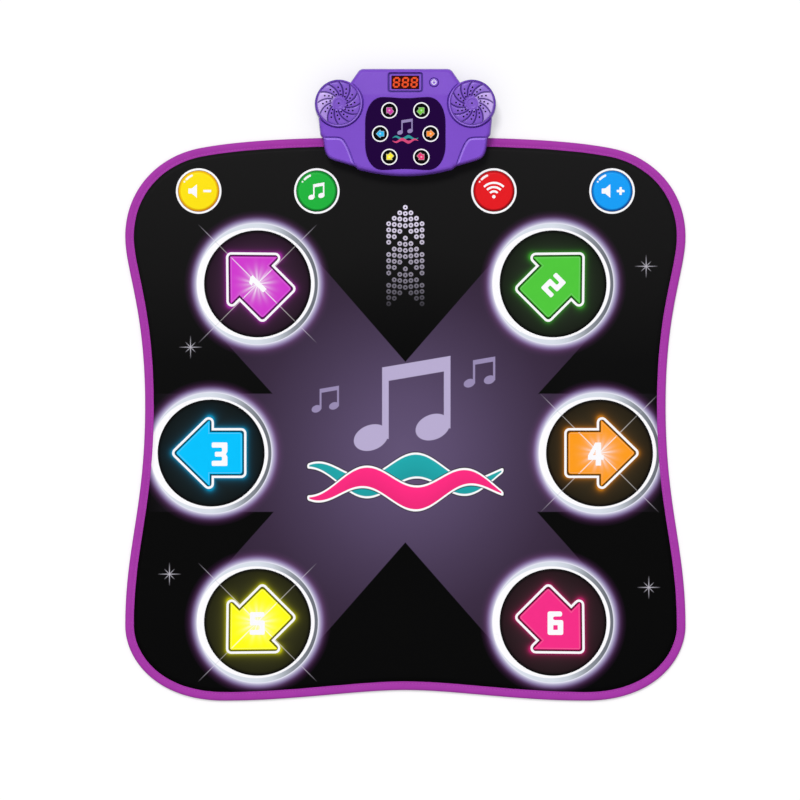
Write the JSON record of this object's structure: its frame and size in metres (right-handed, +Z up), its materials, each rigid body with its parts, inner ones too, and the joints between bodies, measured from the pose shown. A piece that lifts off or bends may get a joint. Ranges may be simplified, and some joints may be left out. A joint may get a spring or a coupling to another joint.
{
  "type": "dance mat controller",
  "caption": "Padded floor mat with round foot pads, touch keys and a clamped control box with speakers, lens, display and button.",
  "frame": {"origin": "on the floor under the middle of the whole object", "axes": "+Y from the mat's near edge to the control box, +Z up from the floor, +X to the right of someone who faces the box"},
  "size_m": [0.785, 0.885, 0.0405],
  "materials": {
    "base_cloth": "matte",
    "cushion_foam": "matte",
    "contact_film": "satin",
    "spacer_foam": "matte",
    "cover_print": "satin",
    "binding_tape": "matte",
    "pad_face": "gloss",
    "window_magenta": "gloss",
    "window_green": "gloss",
    "window_cyan": "gloss",
    "window_orange": "gloss",
    "window_yellow": "gloss",
    "window_pink": "gloss",
    "contact_carbon": "matte",
    "lamp_chip": "gloss",
    "key_yellow": "gloss",
    "key_green": "gloss",
    "key_red": "gloss",
    "key_blue": "gloss",
    "print_white": "satin",
    "shell_purple": "satin",
    "shell_dark_purple": "satin",
    "grille_purple": "satin",
    "driver_black": "matte",
    "lens_smoke": "gloss",
    "display_smoke": "gloss",
    "digit_red": "gloss",
    "board_green": "satin",
    "battery_wrap": "gloss",
    "spring_steel": "satin"
  },
  "bodies": {
    "mat_and_box": {"base_cloth": "base_cloth", "cushion_foam": "cushion_foam", "lower_contact_film": "contact_film", "spacer_foam": "spacer_foam", "top_cover": "cover_print", "edge_binding": "binding_tape", "ribbon_tail": "contact_film", "pad_light_1": "lamp_chip", "pad_light_2": "lamp_chip", "pad_light_3": "lamp_chip", "pad_light_4": "lamp_chip", "pad_light_5": "lamp_chip", "pad_light_6": "lamp_chip", "front_shell": "shell_purple", "back_shell": "shell_dark_purple", "speaker_grille_left": "grille_purple", "speaker_grille_right": "grille_purple", "speaker_driver_left": "driver_black", "speaker_driver_right": "driver_black", "indicator_lens": "lens_smoke", "display_window": "display_smoke", "display_module": "driver_black", "main_board": "board_green", "power_switch": "driver_black", "battery_1": "battery_wrap", "battery_2": "battery_wrap", "battery_3": "battery_wrap", "battery_contact_left": "spring_steel", "battery_contact_right": "spring_steel", "case_screw_1": "spring_steel", "case_screw_2": "spring_steel", "case_screw_3": "spring_steel", "case_screw_4": "spring_steel"},
    "foot_pad_1": {"pad_1": "pad_face", "pad_window_1": "window_magenta", "pad_contact_1": "contact_carbon"},
    "foot_pad_2": {"pad_2": "pad_face", "pad_window_2": "window_green", "pad_contact_2": "contact_carbon"},
    "foot_pad_3": {"pad_3": "pad_face", "pad_window_3": "window_cyan", "pad_contact_3": "contact_carbon"},
    "foot_pad_4": {"pad_4": "pad_face", "pad_window_4": "window_orange", "pad_contact_4": "contact_carbon"},
    "foot_pad_5": {"pad_5": "pad_face", "pad_window_5": "window_yellow", "pad_contact_5": "contact_carbon"},
    "foot_pad_6": {"pad_6": "pad_face", "pad_window_6": "window_pink", "pad_contact_6": "contact_carbon"},
    "volume_down": {"volume_down_key": "key_yellow"},
    "mode": {"mode_key": "key_green"},
    "wireless": {"wireless_key": "key_red"},
    "volume_up": {"volume_up_key": "key_blue"},
    "power": {"power_button": "shell_purple"},
    "door": {"battery_door": "shell_dark_purple"}
  },
  "joints": [
    {"name": "pad_1_press", "type": "slide", "parent": "mat_and_box", "child": "foot_pad_1", "axis": [0, 0, -1], "range_m": [0, 0.0012], "stiffness_N_per_m": 1500, "springref_m": -0.0007},
    {"name": "pad_2_press", "type": "slide", "parent": "mat_and_box", "child": "foot_pad_2", "axis": [0, 0, -1], "range_m": [0, 0.0012], "stiffness_N_per_m": 1500, "springref_m": -0.0007},
    {"name": "pad_3_press", "type": "slide", "parent": "mat_and_box", "child": "foot_pad_3", "axis": [0, 0, -1], "range_m": [0, 0.0012], "stiffness_N_per_m": 1500, "springref_m": -0.0007},
    {"name": "pad_4_press", "type": "slide", "parent": "mat_and_box", "child": "foot_pad_4", "axis": [0, 0, -1], "range_m": [0, 0.0012], "stiffness_N_per_m": 1500, "springref_m": -0.0007},
    {"name": "pad_5_press", "type": "slide", "parent": "mat_and_box", "child": "foot_pad_5", "axis": [0, 0, -1], "range_m": [0, 0.0012], "stiffness_N_per_m": 1500, "springref_m": -0.0007},
    {"name": "pad_6_press", "type": "slide", "parent": "mat_and_box", "child": "foot_pad_6", "axis": [0, 0, -1], "range_m": [0, 0.0012], "stiffness_N_per_m": 1500, "springref_m": -0.0007},
    {"name": "volume_down_press", "type": "slide", "parent": "mat_and_box", "child": "volume_down", "axis": [0, 0, -1], "range_m": [0, 0.0012], "stiffness_N_per_m": 600, "springref_m": -0.0008},
    {"name": "mode_press", "type": "slide", "parent": "mat_and_box", "child": "mode", "axis": [0, 0, -1], "range_m": [0, 0.0012], "stiffness_N_per_m": 600, "springref_m": -0.0008},
    {"name": "wireless_press", "type": "slide", "parent": "mat_and_box", "child": "wireless", "axis": [0, 0, -1], "range_m": [0, 0.0012], "stiffness_N_per_m": 600, "springref_m": -0.0008},
    {"name": "volume_up_press", "type": "slide", "parent": "mat_and_box", "child": "volume_up", "axis": [0, 0, -1], "range_m": [0, 0.0012], "stiffness_N_per_m": 600, "springref_m": -0.0008},
    {"name": "power_press", "type": "slide", "parent": "mat_and_box", "child": "power", "axis": [0, -0.1482, -0.989], "range_m": [0, 0.001], "stiffness_N_per_m": 600, "springref_m": -0.0006},
    {"name": "door_lift_off", "type": "slide", "parent": "mat_and_box", "child": "door", "axis": [0, 0, -1], "range_m": [0, 0.02]}
  ]
}
